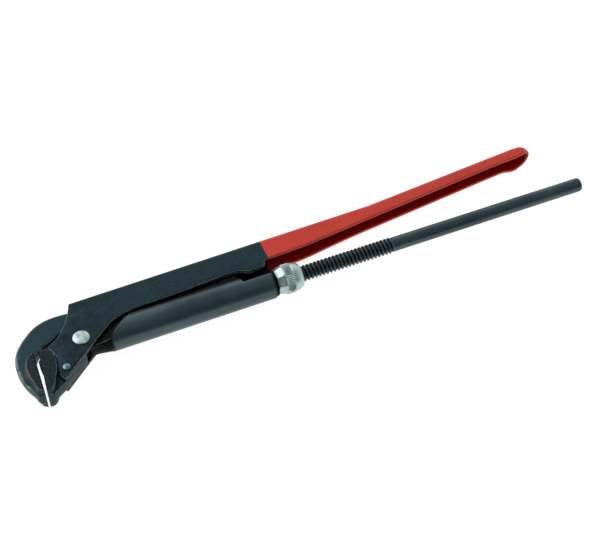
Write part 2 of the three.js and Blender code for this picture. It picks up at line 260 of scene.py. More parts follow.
def slab(left, right, wall_left, wall_right, across=6, toward_left=None, hold_left=1.0, hold_right=1.0):
    """A plate between two rails. At each station its section is a closed loop: straight across the top from
    rail to rail, down the right wall, back across the bottom and up the left wall. Hold scales a wall's
    inset, one number or one a station, so that a rounding can fade out along its rail."""
    normal_left = outward(left, right)
    if toward_left is not None:
        normal_left = np.broadcast_to(np.array(toward_left, float), left.shape)
    a = wall_points(left, normal_left, wall_left, hold_left)
    b = wall_points(right, outward(right, left), wall_right, hold_right)
    t = np.linspace(0, 1, across + 1)[None, 1:-1, None]
    top = a[:, :1] * (1 - t) + b[:, :1] * t
    bottom = b[:, -1:] * (1 - t) + a[:, -1:] * t
    loop = np.concatenate([a[:, :1], top, b, bottom, a[:, :0:-1]], 1)
    plain = np.zeros(across - 1)
    worn = np.concatenate([wall_left[:1, 2], plain, wall_right[:, 2], plain, wall_left[:0:-1, 2]])
    rows, columns = loop.shape[:2]
    faces = grid_faces(rows, columns, wrap=True).tolist()
    faces += [list(range(columns))[::-1], list(range((rows - 1) * columns, rows * columns))]
    return loop.reshape(-1, 3), faces, np.tile(worn, rows)


def sheet(outer, inner, worn=None):
    """A closed skin over two grids of points that face each other, with a rim along all four borders."""
    rows, columns = outer.shape[:2]
    count = rows * columns
    index = np.arange(count).reshape(rows, columns)
    border = np.concatenate([index[0], index[1:, -1], index[-1, -2::-1], index[-2:0:-1, 0]])
    after = np.roll(border, -1)
    rim = np.stack([after, border, border + count, after + count], 1)
    faces = np.concatenate([grid_faces(rows, columns), grid_faces(rows, columns, count)[:, ::-1], rim])
    points = np.concatenate([outer.reshape(-1, 3), inner.reshape(-1, 3)])
    if worn is None:
        worn = np.zeros((rows, columns))
    return points, faces.tolist(), np.tile(worn.ravel(), 2)


def turned(radius, x, worn=None):
    """A skin turned about the bar's axis from a grid of radii, with one row a station and one column an
    angle. The angle runs from +Y towards +Z. Stations with radius 0 close the ends."""
    rows, columns = radius.shape
    a = np.linspace(0, 2 * np.pi, columns, endpoint=False)[None, :]
    y = BAR_Y + radius * np.cos(a)
    z = radius * np.sin(a)
    points = np.stack([np.broadcast_to(x[:, None], radius.shape), y, z], -1).reshape(-1, 3)
    wear = np.zeros(radius.shape) if worn is None else worn
    return points, grid_faces(rows, columns, wrap=True).tolist(), wear.ravel()


def ring(inner, outer, start, end, bevel=0.25, columns=96):
    """A plain bevelled ring on the bar's axis: its closed section is turned through a full circle."""
    section = np.array([
        [inner, start + bevel], [inner + bevel, start], [outer - bevel, start], [outer, start + bevel],
        [outer, end - bevel], [outer - bevel, end], [inner + bevel, end], [inner, end - bevel],
        [inner, start + bevel],
    ])
    return turned(np.repeat(section[:, :1], columns, 1), section[:, 1])


def domed_head(radius, height, seat, at, side, columns=72):
    """A rivet head: an upright lip under a shallow crowned cap, height falling as a half cosine to its
    rim."""
    share = np.linspace(0, 1, 14)
    crown = seat + height * (0.32 + 0.68 * np.cos(share * np.pi / 2) ** 0.8)
    rise = np.concatenate([crown, [seat + 0.12, seat - 0.5, seat - 0.5]])
    wide = np.concatenate([radius * np.sin(share * np.pi / 2), [radius * 0.985, radius * 0.95, 0]])
    a = np.linspace(0, 2 * np.pi, columns, endpoint=False)[None, :]
    x = at[0] + wide[:, None] * np.cos(a)
    y = at[1] + wide[:, None] * np.sin(a)
    z = side * np.broadcast_to(rise[:, None], x.shape)
    points = np.stack([x, y, z], -1).reshape(-1, 3)
    return points, grid_faces(len(rise), columns, wrap=True).tolist(), np.zeros(len(points))


def mirrored(surface):
    """The same surface on the other side of the mid-plane."""
    points, faces, wear = surface
    return points * [1, 1, -1], faces, wear


def joined(surfaces):
    """Several surfaces as one set of points, faces and wear."""
    points, faces, wear, start = [], [], [], 0
    for p, f, w in surfaces:
        points.append(p)
        faces += [[i + start for i in face] for face in f]
        wear.append(w)
        start += len(p)
    return np.concatenate(points), faces, np.concatenate(wear)


def make_piece(name, surfaces, material, body, slot, *nodes, crease=38):
    """Puts surfaces into a mesh in its place in metres, welds seams and poles, turns the faces outward,
    shades it smooth up to a crease angle, and rides it on its body in place of the frame's nodes."""
    points, faces, wear = joined(surfaces)
    mesh = bpy.data.meshes.new(name)
    mesh.from_pydata(((points + PIVOT) * METRE).tolist(), [], faces)
    mesh.attributes.new("wear", "FLOAT", "POINT").data.foreach_set("value", wear.astype(np.float32))
    work = bmesh.new()
    work.from_mesh(mesh)
    bmesh.ops.remove_doubles(work, verts=work.verts, dist=1e-6)
    bmesh.ops.dissolve_degenerate(work, edges=work.edges, dist=1e-7)
    bmesh.ops.recalc_face_normals(work, faces=work.faces)
    work.to_mesh(mesh)
    work.free()
    if not mesh.polygons:
        raise RuntimeError(f"{name} came out empty")
    mesh.polygons.foreach_set("use_smooth", [True] * len(mesh.polygons))
    mesh.set_sharp_from_angle(angle=math.radians(crease))
    mesh.materials.append(material)
    piece = bpy.data.objects.new(name, mesh)
    bpy.context.scene.collection.objects.link(piece)
    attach(piece, body)
    if nodes:
        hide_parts(*nodes)
    return piece


# ---- materials ----


def add(tree, kind, sockets=(), **settings):
    """Adds one shader node with its settings. Each socket, by name or number, gets a constant or is linked to
    another node's output. In a Map Range, 0 is the value, 1 and 2 the range it has, and 3 and 4 the range it
    gets. In a Mix, 0 is the second colour's share, and 6 and 7 are the colours."""
    node = tree.nodes.new("ShaderNode" + kind)
    for key, value in settings.items():
        setattr(node, key, value)
    for key, value in dict(sockets).items():
        if isinstance(value, bpy.types.NodeSocket):
            tree.links.new(value, node.inputs[key])
        else:
            node.inputs[key].default_value = value
    return node


def new_material(name):
    """An empty node material, its tree and the object's coordinates."""
    material = bpy.data.materials.new(name)
    material.use_nodes = True
    tree = material.node_tree
    tree.nodes.clear()
    return material, tree, add(tree, "TexCoord").outputs["Object"]


def close_material(tree, sockets):
    """The shader that ends a material, with its constants on its own sockets, and the output it feeds."""
    shader = add(tree, "BsdfPrincipled", sockets)
    add(tree, "OutputMaterial", {"Surface": shader.outputs[0]})


def grain(tree, place, size, detail, stretch=(1, 1, 1)):
    """Noise whose features are about size millimetres across, drawn out along the axes whose stretch is
    small."""
    place = add(tree, "Mapping", {"Scale": stretch, "Vector": place}).outputs[0]
    scale = 1 / (size * METRE)
    return add(tree, "TexNoise", {"Vector": place, "Scale": scale, "Detail": detail}).outputs["Fac"]


def edge_wear_and_highlight(tree, place, size, most):
    """How far edges are rubbed and painted bright, up to most: the piece's own wear attribute, broken up by
    noise so that a rubbed edge is patchy. The bright steel it mixes in is partly real wear and partly a
    painted highlight along rounded edges."""
    worn = add(tree, "Attribute", attribute_name="wear").outputs["Fac"]
    patchy = add(tree, "MapRange", {0: grain(tree, place, size, 3), 1: 0.38, 2: 0.62, 3: 0.35}).outputs[0]
    worn = add(tree, "Math", {0: worn, 1: patchy}, operation="MULTIPLY").outputs[0]
    return add(tree, "MapRange", {0: worn, 1: 0.1, 4: most}).outputs[0]


def from_pivot(tree, place, axis):
    """Distance from the pivot rivet's centre along one axis, in metres."""
    centred = add(tree, "Mapping", {"Location": (-PIVOT * METRE).tolist(), "Vector": place})
    return add(tree, "SeparateXYZ", {0: centred.outputs[0]}).outputs[axis]


def height_above_middle(tree, place):
    """Distance from the wrench's mid-plane, in metres."""
    return add(tree, "Math", {0: from_pivot(tree, place, "Z")}, operation="ABSOLUTE").outputs[0]


def black_phosphate(name, light, dark, bright, most_wear_and_highlight, grit, ground=None, soaked=None):
    """Zinc phosphate on steel, oiled: a matt crystalline black that scatters light in fine specks, with a
    slight cold green cast where it is thin, and bright steel on rubbed edges, which is partly real wear and
    partly a painted highlight along the rounding. Faces above the ground height are darker and coarser, as
    left by a saw. Oil makes it blacker and patchier near the jaws, up to the soaked distance behind the
    pivot."""
    material, tree, place = new_material(name)
    # The bath's streaks are about 16 mm across. A real crystal is some hundredths of a millimetre, so it is
    # drawn as coarse as the grit to show.
    streak = add(tree, "MapRange", {0: grain(tree, place, 16, 3), 3: 0.38, 4: 0.62}).outputs[0]
    speck = grain(tree, place, grit, 2)
    tone = add(tree, "Math", {0: streak, 1: speck}, operation="ADD").outputs[0]
    share = add(tree, "MapRange", {0: tone, 1: 0.7, 2: 1.3, 3: 0.1, 4: 0.9}).outputs[0]
    base = add(tree, "Mix", {0: share, 6: dark, 7: light}, data_type="RGBA").outputs[2]
    if ground:
        # The sawn tone begins a quarter of a millimetre below the face and is full a tenth below it.
        low, high = (ground - 0.25) * METRE, (ground - 0.1) * METRE
        sawn = add(tree, "MapRange", {0: height_above_middle(tree, place), 1: low, 2: high}).outputs[0]
        share = add(tree, "MapRange", {0: speck, 1: 0.4, 2: 0.62}).outputs[0]
        tones = {6: linear("#0b1013"), 7: linear("#2a363c")}
        coarse = add(tree, "Mix", {0: share, **tones}, data_type="RGBA").outputs[2]
        base = add(tree, "Mix", {0: sawn, 6: base, 7: coarse}, data_type="RGBA").outputs[2]
    if soaked:
        # Oil patches are about 5 mm across, and start in full 10 mm in front of the pivot.
        along = from_pivot(tree, place, "X")
        near = add(tree, "MapRange", {0: along, 1: -10 * METRE, 2: soaked * METRE, 3: 0.5, 4: 0.0}).outputs[0]
        patch = grain(tree, place, 5, 4)
        patch = add(tree, "MapRange", {0: patch, 1: 0.35, 2: 0.65, 3: 0.3, 4: 1.5}).outputs[0]
        oil = add(tree, "Math", {0: near, 1: patch}, operation="MULTIPLY").outputs[0]
        base = add(tree, "Mix", {0: oil, 6: base, 7: linear("#0d1215")}, data_type="RGBA").outputs[2]
    worn = edge_wear_and_highlight(tree, place, 2.5, most_wear_and_highlight)
    tint = add(tree, "Mix", {0: worn, 6: base, 7: bright}, data_type="RGBA").outputs[2]
    rough = add(tree, "MapRange", {0: speck, 1: 0.3, 2: 0.7, 3: 0.36, 4: 0.52}).outputs[0]
    bump = add(tree, "Bump", {"Height": speck, "Strength": 1.0, "Distance": 0.1 * METRE}).outputs[0]
    close_material(tree, {"Base Color": tint, "Roughness": rough, "Normal": bump, "Metallic": 0.88})
    return material


def blued_sheet(name, light, dark, bright, shade_colour):
    """Hot-blued rolled sheet: a thin blue-black oxide, smooth enough to show soft long reflections, with
    faint rolling lines along the tube. Where the wear is negative a near-black colour is mixed in: painted
    shade on the sleeve's folded flanges and in the thread's roots, and a darker tone on the sleeve's cut
    ends."""
    material, tree, place = new_material(name)
    # Rolling lines are drawn 1.2 mm apart, several times coarser than real ones, to show. The oxide's clouds
    # are about 22 mm across.
    lines = grain(tree, place, 1.2, 2, (0.03, 1, 1))
    cloud = add(tree, "MapRange", {0: grain(tree, place, 22, 2), 1: 0.2, 2: 0.8, 3: 0.45}).outputs[0]
    base = add(tree, "Mix", {0: cloud, 6: dark, 7: light}, data_type="RGBA").outputs[2]
    worn = edge_wear_and_highlight(tree, place, 2, 0.3)
    clean = add(tree, "Mix", {0: worn, 6: base, 7: bright}, data_type="RGBA").outputs[2]
    # Painted shade: negative wear mixes in the shade colour, up to 0.92 of it at -1.
    scale = add(tree, "Attribute", attribute_name="wear").outputs["Fac"]
    scale = add(tree, "MapRange", {0: scale, 1: -0.2, 2: -1.0, 3: 0.0, 4: 0.92}).outputs[0]
    tint = add(tree, "Mix", {0: scale, 6: clean, 7: shade_colour}, data_type="RGBA").outputs[2]
    rough = add(tree, "MapRange", {0: lines, 1: 0.3, 2: 0.7, 3: 0.3, 4: 0.42}).outputs[0]
    bump = add(tree, "Bump", {"Height": lines, "Strength": 1.0, "Distance": 0.02 * METRE}).outputs[0]
    close_material(tree, {"Base Color": tint, "Roughness": rough, "Normal": bump, "Metallic": 0.75})
    return material


def stoved_enamel(name, face, inside, inner_face):
    """Stoving enamel sprayed on pressed steel: an even, glossy opaque red with a slight orange peel, and
    painted shade in a dark red on the faces inside the channel."""
    material, tree, place = new_material(name)
    # Orange peel is 1.6 mm across, as on real stoving enamel, and the coat's tone drifts over 40 mm.
    peel = grain(tree, place, 1.6, 1)
    cloud = grain(tree, place, 40, 2)
    # Painted shade: faces nearer the mid-plane than the inner face, inside the channel, take the dark red.
    low, high = inner_face * METRE, (inner_face + 0.5) * METRE
    height = height_above_middle(tree, place)
    shaded_inside = add(tree, "MapRange", {0: height, 1: low, 2: high, 3: 1.0, 4: 0.0}).outputs[0]
    drift = add(tree, "MapRange", {0: cloud, 1: 0.3, 2: 0.7, 4: 0.25}).outputs[0]
    coat = add(tree, "Mix", {0: drift, 6: face, 7: inside}, data_type="RGBA").outputs[2]
    tint = add(tree, "Mix", {0: shaded_inside, 6: coat, 7: inside}, data_type="RGBA").outputs[2]
    rough = add(tree, "MapRange", {0: cloud, 1: 0.3, 2: 0.7, 3: 0.36, 4: 0.46}).outputs[0]
    bump = add(tree, "Bump", {"Height": peel, "Strength": 1.0, "Distance": 0.015 * METRE}).outputs[0]
    close_material(tree, {"Base Color": tint, "Roughness": rough, "Normal": bump, "Specular IOR Level": 0.22})
    return material


def zinc_plate(name, light, dark):
    """Bright zinc electroplate over turned steel: a pale, slightly green-blue metal with fine turning rings
    and dull patches where fingers have rubbed it."""
    material, tree, place = new_material(name)
    # Turning rings are drawn 0.5 mm apart, a few times a lathe's fine feed, to show. Patches are 5 mm.
    rings = grain(tree, place, 0.5, 2, (1, 0.05, 0.05))
    patches = grain(tree, place, 5, 3)
    share = add(tree, "MapRange", {0: patches, 1: 0.25, 2: 0.7, 3: 0.35}).outputs[0]
    tint = add(tree, "Mix", {0: share, 6: dark, 7: light}, data_type="RGBA").outputs[2]
    rough = add(tree, "MapRange", {0: patches, 1: 0.3, 2: 0.7, 3: 0.28, 4: 0.5}).outputs[0]
    bump = add(tree, "Bump", {"Height": rings, "Strength": 1.0, "Distance": 0.02 * METRE}).outputs[0]
    close_material(tree, {"Base Color": tint, "Roughness": rough, "Normal": bump, "Metallic": 0.9})
    return material


def bright_rivet(name, light, dark):
    """Cold-headed bright steel: a hammered crown with small flats and dull dents."""
    material, tree, place = new_material(name)
    # A hammer's dents are about 3 mm across and a tenth of a millimetre deep.
    dents = grain(tree, place, 3.2, 2)
    share = add(tree, "MapRange", {0: dents, 1: 0.3, 2: 0.65, 3: 0.3}).outputs[0]
    tint = add(tree, "Mix", {0: share, 6: dark, 7: light}, data_type="RGBA").outputs[2]
    rough = add(tree, "MapRange", {0: dents, 1: 0.3, 2: 0.7, 3: 0.26, 4: 0.5}).outputs[0]
    bump = add(tree, "Bump", {"Height": dents, "Strength": 1.0, "Distance": 0.1 * METRE}).outputs[0]
    close_material(tree, {"Base Color": tint, "Roughness": rough, "Normal": bump, "Metallic": 0.9})
    return material


def oil_black(name, tone, bright):
    """Near-black steel: a dull, almost colourless black with a greasy patchy sheen, and along its edges
    rubbed steel and a painted highlight. The near-black tone is painted shade on the sleeve's neck, ears and
    lug and on the bush and washer in the sleeve's end."""
    material, tree, place = new_material(name)
    # Greasy patches are about 5 mm across.
    patches = grain(tree, place, 5, 3)
    darker = (tone[0] * 0.4, tone[1] * 0.4, tone[2] * 0.4, 1)
    share = add(tree, "MapRange", {0: patches, 1: 0.35, 2: 0.65}).outputs[0]
    base = add(tree, "Mix", {0: share, 6: darker, 7: tone}, data_type="RGBA").outputs[2]
    worn = edge_wear_and_highlight(tree, place, 2, 0.22)
    tint = add(tree, "Mix", {0: worn, 6: base, 7: bright}, data_type="RGBA").outputs[2]
    rough = add(tree, "MapRange", {0: patches, 1: 0.3, 2: 0.7, 3: 0.42, 4: 0.62}).outputs[0]
    close_material(tree, {"Base Color": tint, "Roughness": rough, "Specular IOR Level": 0.12})
    return material


# The finishes made so far, by name and colours.
FINISHES = {}


def finish(key):
    """The finish of that name in the scene's colours, made when it is first asked for in those colours."""
    c = bpy.context.scene.wrench_colours
    wanted = (key, *(tuple(getattr(c, name)) for name in c.__annotations__))
    phosphate = [tuple(shade) for shade in (c.phosphate, c.phosphate_dark, c.bright)]
    bright = tuple(c.bright)
    black = tuple(c.black)
    makers = {
        "forged": lambda: black_phosphate("oiled black phosphate on forging", *phosphate, 0.4, 0.7),
        "pressed": lambda: black_phosphate("oiled black phosphate on sheet", *phosphate, 0.55, 0.9,
                                           soaked=45),
        "ground": lambda: black_phosphate("coarse black phosphate on toothed jaw", *phosphate, 0.3, 0.7,
                                          ground=JAW_HALF),
        # The blued sheet's painted shade takes the oil black colour.
        "blued": lambda: blued_sheet("blued rolled sheet", tuple(c.blued), tuple(c.phosphate_dark), bright,
                                     black),
        "enamel": lambda: stoved_enamel("red stoving enamel", tuple(c.enamel), tuple(c.enamel_painted_shade),
                                        CHEEK - 2.3),
        "worn": lambda: bright_rivet("rubbed dark steel", linear("#7f969c"), linear("#4a5d63")),
        "zinc": lambda: zinc_plate("bright zinc plate", tuple(c.zinc), linear("#8fa9a6")),
        "bright": lambda: bright_rivet("bright cold-headed steel", bright, linear("#7d9391")),
        "black": lambda: oil_black("oil-blackened steel", black, bright),
    }
    if wanted not in FINISHES:
        FINISHES[wanted] = makers[key]()
    return FINISHES[wanted]


# ---- outlines that several pieces share ----

WEB_FRONT = 32.2
WEB_BEND = (222.8, 35.84)
GRIP_RISE = 0.0875
NOSE_FROM = 342.0
CHEEK_CORNER = (-22.8, 0.6)
CHEEK_TIP = (-18.7, -28.0)
HOLLOW_POINTS = 60
EDGE_LEVEL = 9.15
EAR_RADIUS = 8.5


def web_height(x):
    """Height of the web's outside face: straight over the sleeve, steeper along the grip, and a quarter
    ellipse down over the nose. It stays a tenth of a millimetre inside the solid part's web."""
    front = WEB_FRONT + (WEB_BEND[1] - WEB_FRONT) * x / WEB_BEND[0]
    rear = WEB_BEND[1] + GRIP_RISE * (x - WEB_BEND[0])
    over = np.clip((x - NOSE_FROM) / (CHANNEL_END - NOSE_FROM), 0, 1)
    return np.where(x < WEB_BEND[0], front, rear) - 5.2 * (1 - np.sqrt(1 - over**2 * 0.995)) - 0.1


def cheek_front():
    """Front edge of a cheek from its lower tip, over the cusp beside the jaw, to the web's corner."""
    hollow = smooth([CHEEK_TIP, (-20.4, -25.6), (-20.9, -22), (-19.3, -12), (-19.2, -7.5), (-20.5, -2.9),
                     CHEEK_CORNER], HOLLOW_POINTS)
    sweep = smooth([CHEEK_CORNER, (-12, 8.7), (-6.4, 16.3), (-2.3, 23.9), (0.7, WEB_FRONT)], 60)
    return path(hollow, sweep)


def cheek_lower(stepped):
    """Lower edge of a leg from the cheek's tip to the enamel: a straight slope under the fixed jaw, a sweep
    over the sleeve and an arch over the open part of the sleeve. The near leg then steps up behind the
    nut."""
    sweep = smooth([(1.2, -11.3), (10.6, -3.8), (16, 0.5), (23.4, EDGE_LEVEL - 3.3), (31.5, EDGE_LEVEL - 0.3),
                    (40, EDGE_LEVEL + 1.05), (58, EDGE_LEVEL + 1.5)], 80)
    arch = smooth([(80, EDGE_LEVEL + 2.6), (100, EDGE_LEVEL + 4.1), (110, EDGE_LEVEL + 4.8),
                   (115, EDGE_LEVEL + 4.5), (119, EDGE_LEVEL + 2.9), (121.6, EDGE_LEVEL + 1.2)], 60)
    rear = [(127, EDGE_LEVEL + 1.7), (133, EDGE_LEVEL + 2.4)]
    if stepped:
        rear += [(134.2, EDGE_LEVEL + 3.4), (134.8, EDGE_LEVEL + 6.2), (136, EDGE_LEVEL + 7.2)]
    rear += [(138.3, EDGE_LEVEL + (7.5 if stepped else 3.1))]
    return path([CHEEK_TIP, (-14.1, -24.2), (1.2, -11.3)], sweep, arch, rear)


def grip_lower(x, lipped):
    """Lower edge of a grip leg: nearly level over the thread, a straight rise, then up round the nose. The
    far leg's edge first dips in a flared lip."""
    nose = [(322, 35.3), (332, 36.0), (340, 36.5), (347, 37.6), (352, 38.7), (CHANNEL_END, 40.2)]
    if lipped:
        nose = [(322, 35.3), (328, 35.9), (334, 36.2), (338, 35.3), (341, 35.0), (346, 36.3), (351, 38.2),
                (CHANNEL_END, 40.2)]
    line = path([(130, 16.35), (158, 17.45)], smooth([(158, 17.45), (168, 18.05), (178, 19.15)], 20),
                smooth(nose, 80))
    return np.interp(x, line[:, 0], line[:, 1])


def tips_face(start, end):
    """Unit vector to the right of a line of teeth, which is the way its tips point."""
    along = np.array(end) - np.array(start)
    return np.array([along[1], -along[0]]) / np.linalg.norm(along)


def toothed(start, end, depth, count=13, steps=10):
    """A row of teeth along a straight line: a triangle wave with blunted tips, cut to the line's left."""
    share = np.linspace(0, 1, count * steps + 1)
    wave = 1 - np.abs(1 - 2 * ((share * count) % 1))
    cut = np.clip((wave - 0.08) / 0.86, 0, 1)
    along = np.array(end) - np.array(start)
    return np.array(start) + share[:, None] * along - (depth * cut)[:, None] * tips_face(start, end)


HOOK_TEETH = ((-33.53, -32.5), (-32.0, -1.5))
FIXED_TEETH = ((-28.9, -1.8), (-32.25, -33.1))


# ---- pieces ----


def u_section(x, edge_y, web_y, half, thickness, bend, edge, inner):
    """Half of the channel's section at each station, from the lower edge to the middle of the web, on the
    outside face or the inside face: an edge rounding, a straight leg, a quarter-circle bend and the flat
    web."""
    a = np.linspace(0, np.pi / 2, 5)[None, :]
    give = edge * (1 - np.sin(a)) * (1 if inner else -1)
    half = half[:, None]
    edge_y, web_y = edge_y[:, None], web_y[:, None]
    turn = np.minimum(max(bend - thickness, 0.3) if inner else bend, half)
    roof = web_y - (thickness if inner else 0.0)
    rim_z = half + give
    rim_y = edge_y + edge * (1 - np.cos(a))
    t = np.linspace(0, 1, 9)[None, 1:]
    leg_y = (edge_y + edge) * (1 - t) + (roof - turn) * t
    b = np.linspace(0, np.pi / 2, 7)[None, 1:]
    bend_z = half - turn + turn * np.cos(b)
    bend_y = roof - turn + turn * np.sin(b)
    w = np.linspace(1, 0, 4)[None, 1:]
    web_z = (half - turn) * w
    leg_z = np.broadcast_to(half, leg_y.shape)
    z = np.concatenate([rim_z, leg_z, bend_z, web_z], 1)
    y = np.concatenate([rim_y, leg_y, bend_y, np.broadcast_to(roof, web_z.shape)], 1)
    return y, z


def full_section(x, near, far):
    """Both halves of a section as one grid of points from the near edge, over the web, to the far edge."""
    y = np.concatenate([near[0], far[0][:, -2::-1]], 1)
    z = np.concatenate([near[1], -far[1][:, -2::-1]], 1)
    return np.stack([np.broadcast_to(x[:, None], y.shape), y, z], -1)


def grip_surface(s):
    """The enamelled grip as an outer and an inner U-section carried from the enamel's edge to the nose,
    where both close as half circles in plan, the inner one shorter by the sheet."""
    half = CHEEK
    nose = CHANNEL_END - half
    straight = np.linspace(s.paint_from, nose, 150)
    swing = np.sin(np.linspace(0, np.pi / 2, 22))[1:]
    x_out = np.concatenate([straight, nose + half * swing])
    x_in = np.concatenate([straight, nose + (half - s.sheet) * swing])
    narrow = np.concatenate([np.ones_like(straight), np.sqrt(1 - np.minimum(swing**2, 1) * 0.9999)])
    near = grip_lower(x_out, False)
    # The far leg starts 4.2 mm lower than the near one and has risen to its level by 215 mm.
    far = grip_lower(x_out, True) - 2.2 * (1 - ease(x_out, 140, 215)) - 2.0 * (1 - ease(x_out, 138.3, 150))
    web = web_height(x_out)
    roof = np.maximum(web, near + s.sheet + 1.2)
    sides = []
    for edge_y in (near, far):
        outer = u_section(x_out, edge_y, web, half * narrow, s.sheet, s.bend, s.edge, False)
        inner = u_section(x_out, edge_y, roof, (half - s.sheet) * narrow, s.sheet, s.bend, s.edge, True)
        sides.append((outer, inner))
    outer = full_section(x_out, sides[0][0], sides[1][0])
    inner = full_section(x_in, sides[0][1], sides[1][1])
    return sheet(outer, inner)


def web_surface(s):
    """The black web and its two bends, from the front edge to the enamel, with the front edge rounded."""
    sweep = cheek_front()[HOLLOW_POINTS:]
    base = np.linspace(0, 1, 60)
    b = np.linspace(0, np.pi / 2, 9)
    grids = []
    for turn in (s.bend, s.bend - s.sheet):
        z = np.concatenate([CHEEK - s.bend + turn * np.cos(b), np.linspace(CHEEK - s.bend, 0, 5)[1:]])
        drop = np.concatenate([s.bend - turn * np.sin(b), np.full(4, s.bend - turn)])
        z = np.concatenate([z, -z[-2::-1]])
        drop = np.concatenate([drop, drop[-2::-1]])
        start = np.interp(WEB_FRONT - drop, sweep[:, 1], sweep[:, 0])
        x = start[None, :] + (s.paint_from - start[None, :]) * base[:, None]
        grids.append(np.stack([x, web_height(x) - drop[None, :], np.broadcast_to(z, x.shape)], -1))
    outer, inner = grids
    middle = (outer[0] + inner[0]) / 2
    a = np.linspace(0, np.pi / 2, 5)[:-1]
    rounded = []
    for face in (outer, inner):
        inward = (middle - face[0]) / (s.sheet / 2)
        steps = [face[0] + inward * s.edge * (1 - math.sin(k)) + [s.edge * (1 - math.cos(k)), 0, 0]
                 for k in a]
        first = face[:1] + [s.edge, 0, 0]
        rounded.append(np.concatenate([np.array(steps), first, face[1:]]))
    # The front edge's rounding is marked worn: rubbed steel, and a painted highlight along the edge line.
    worn = np.zeros(rounded[0].shape[:2])
    worn[1:4] = 1
    return sheet(rounded[0], rounded[1], worn)


def cheek_surface(s, stepped):
    """A leg of the channel as a plate between its front edge and bend line on one side and its lower edge
    on the other; the bend line is cut square, where the web's skin takes over."""
    front = cheek_front()
    sweep = front[HOLLOW_POINTS:]
    seam = WEB_FRONT - s.bend
    corner = (np.interp(seam, sweep[:, 1], sweep[:, 0]), seam)
    front = path(front[front[:, 1] <= seam], [corner])
    lower = cheek_lower(stepped)
    # The front edge is paired with the lower edge up to 46 mm behind the pivot, the bend line with the rest.
    split = int(np.argmax(lower[:, 0] > 46))
    ahead, behind = 170, 160
    x = np.linspace(front[-1, 0], s.paint_from, behind)
    seam_line = np.stack([x, web_height(x) - s.bend], 1)
    left = np.concatenate([even(front, ahead), seam_line])
    right = np.concatenate([even(lower[: split + 1], ahead), even(lower[split:], behind)])
    right[-1, 0] = s.paint_from
    hold = np.concatenate([np.ones(ahead), np.zeros(behind)])
    wall = rounded_wall(CHEEK, CHEEK - s.sheet, s.edge, 0.3)
    return slab(left, right, wall, wall, across=5, hold_left=hold)


def fixed_jaw_surfaces(s):
    """The fixed jaw: a shank between the cheeks and a wide lens-shaped segment with teeth across its
    front."""
    shank_left = even(path([(-31.1, -31.4), (-30.9, -29)], [(-29.9, -16), (-30.5, -10), (-30.6, -5.2),
                                                            (-29, -3.6), (-26, -4.2), (-12, -4.2)]), 90)
    shank_right = even(path(smooth([(-31.1, -31.4), (-30.6, -33.1), (-29.0, -33.9), (-26.8, -33.3)], 14),
                            [(-18.7, -28.1), (-14.1, -24.3), (-0.5, -12.9)]), 90)
    shank_wall = rounded_wall(s.plate_half, -s.plate_half, 0.8)
    shank = slab(shank_left, shank_right, shank_wall, shank_wall, across=4)
    teeth = toothed(*FIXED_TEETH, s.tooth_depth)
    back = smooth([(-28.9, -1.8), (-24.4, -1.9), (-21.6, -4.2), (-20.2, -9), (-20.4, -14), (-22, -20.9),
                   (-24.4, -26.5), (-27, -31.6), (-29.7, -33.2), (-32.25, -33.1)], len(teeth))
    front_wall = rounded_wall(JAW_HALF, -JAW_HALF, 0.3)
    back_wall = rounded_wall(JAW_HALF, -JAW_HALF, 0.7)
    segment = slab(teeth, back, front_wall, back_wall, across=8, toward_left=tips_face(*FIXED_TEETH))
    return [shank, segment]


def hook_surfaces(s):
    """The hook: a flat body with a well rounded back, and a wide toothed segment whose outer wall slopes
    out to the body and runs into it with a fillet."""
    back = smooth([(-34.3, -32.6), (-35.6, -32.5), (-39.8, -28), (-44.2, -17), (-45.5, -4), (-42.6, 7),
                   (-34.5, 17.2), (-24, 24.6), (-13.6, 27.1), (-2, 26.8), (10, 25.2), (24, 20.5)], 220)
    behind_teeth = smooth([(-34.3, -32.6), (-35.6, -27), (-36.4, -20), (-36.4, -10), (-34.6, -5.5),
                           (-32.2, -2.8)], 60)
    crotch = smooth([(-32.2, -2.8), (-30.4, 0.2), (-27.2, 3.4), (-19.2, 7.3), (-13, 11)], 40)
    belly = path(behind_teeth, crotch,
                 [(-4, 11.2), (4, EAR_RADIUS + 0.75), (24, EAR_RADIUS + 0.75)])
    count = 220
    plate = slab(even(belly, count), even(back, count), rounded_wall(s.plate_half, -s.plate_half, 0.9),
                 rounded_wall(s.plate_half, -s.plate_half, s.forging_round, steps=6), across=8)
    teeth = toothed(*HOOK_TEETH, s.tooth_depth)
    outer = smooth([(-33.53, -32.5), (-35.7, -31.4), (-37.8, -25.7), (-39.5, -18), (-39.5, -10),
                    (-37.9, -5.4), (-35.2, -2.2), (-32, -1.5)], len(teeth))
    flare = [(JAW_HALF, 0.7, 0), (JAW_HALF - 0.2, 0.2, 1), (JAW_HALF - 0.7, 0, 0), (6.4, -1.3, 0),
             (5.3, -1.9, 0), (4.6, -2.6, 0), (4.15, -3.6, 0), (3.4, -3.8, 0)]
    wall = np.array(flare + [(-z, inset, w) for z, inset, w in flare[::-1]])
    share = np.linspace(0, 1, len(teeth))
    hold = 0.15 + 0.35 * ease(share, 0.0, 0.1) + 0.5 * ease(share, 0.25, 0.5)
    segment = slab(teeth, outer, rounded_wall(JAW_HALF, -JAW_HALF, 0.3, steps=7), wall, across=8,
                   toward_left=tips_face(*HOOK_TEETH), hold_right=hold)
    return [plate, segment]


def blade_surface():
    """The thin blade inside the sleeve: a plate between a level lower edge and a long falling upper
    edge."""
    lower = even([(8, 4.75), (84, 4.75), (85, 0.2), (92, 0.2)], 60)
    upper = even([(8, 22.0), (26, 19.8), (91.4, 3.1), (92, 0.2)], 60)
    wall = rounded_wall(2.25, -2.25, 0.4)
    return slab(lower, upper, wall, wall, across=3)


